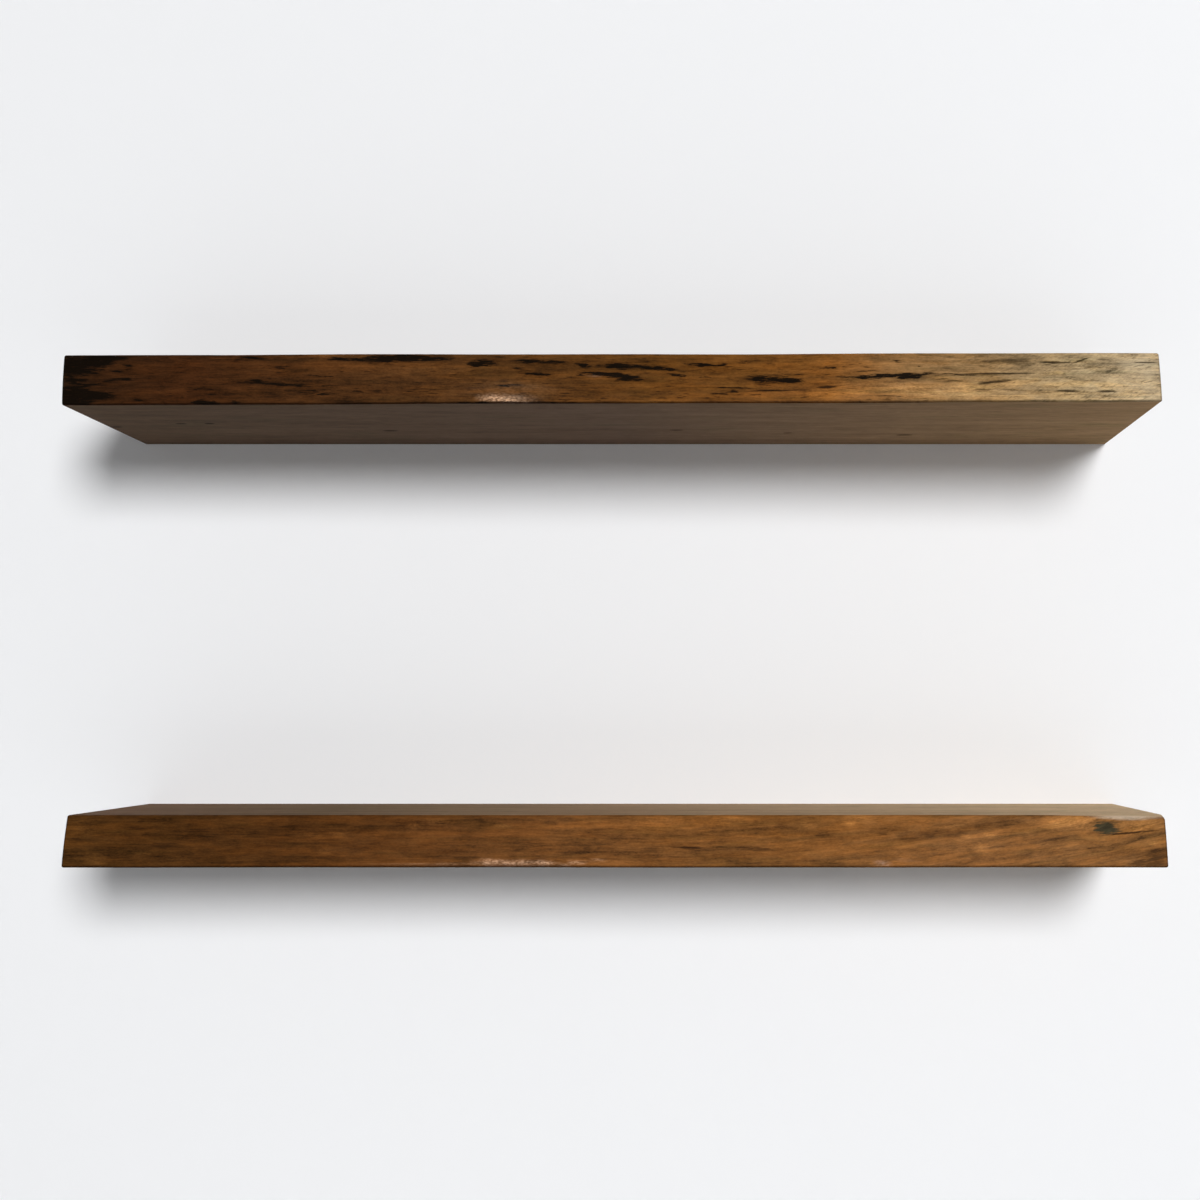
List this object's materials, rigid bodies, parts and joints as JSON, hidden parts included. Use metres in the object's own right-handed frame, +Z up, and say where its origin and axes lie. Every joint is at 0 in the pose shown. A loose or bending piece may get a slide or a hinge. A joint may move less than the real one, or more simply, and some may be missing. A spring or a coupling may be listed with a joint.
{
  "type": "floating wall shelf pair",
  "caption": "Pair of solid-wood floating wall shelves with leaning live front edges, each sliding on steel rods of a hidden wall rail.",
  "frame": {"origin": "middle of the lower rail's wall face, so the wall is the plane y = 0 and the lower slab's mid-height is z = 0", "axes": "+X along the shelves to the right as one faces them, +Y into the wall, +Z up"},
  "size_m": [0.9215, 0.2667, 0.428],
  "materials": {
    "lower_wood": "satin lacquer on planed faces and a live front edge",
    "upper_wood": "satin lacquer over spalted wood with a live front edge",
    "black_steel": "black powder coat",
    "zinc_plated_steel": "bright zinc plate",
    "grey_nylon": "moulded nylon"
  },
  "bodies": {
    "wall_fixings": {"lower_wall_rail": "black_steel", "lower_rod_left": "black_steel", "lower_rod_middle": "black_steel", "lower_rod_right": "black_steel", "lower_screw_1": "zinc_plated_steel", "lower_screw_2": "zinc_plated_steel", "lower_screw_3": "zinc_plated_steel", "lower_screw_4": "zinc_plated_steel", "lower_plug_1": "grey_nylon", "lower_plug_2": "grey_nylon", "lower_plug_3": "grey_nylon", "lower_plug_4": "grey_nylon", "upper_wall_rail": "black_steel", "upper_rod_left": "black_steel", "upper_rod_middle": "black_steel", "upper_rod_right": "black_steel", "upper_screw_1": "zinc_plated_steel", "upper_screw_2": "zinc_plated_steel", "upper_screw_3": "zinc_plated_steel", "upper_screw_4": "zinc_plated_steel", "upper_plug_1": "grey_nylon", "upper_plug_2": "grey_nylon", "upper_plug_3": "grey_nylon", "upper_plug_4": "grey_nylon"},
    "lower_shelf": {"lower_slab": "lower_wood"},
    "upper_shelf": {"upper_slab": "upper_wood"}
  },
  "joints": [
    {"name": "lower_shelf_slide", "type": "slide", "parent": "wall_fixings", "child": "lower_shelf", "axis": [0, -1, 0], "range_m": [0, 0.16]},
    {"name": "upper_shelf_slide", "type": "slide", "parent": "wall_fixings", "child": "upper_shelf", "axis": [0, -1, 0], "range_m": [0, 0.16]}
  ]
}
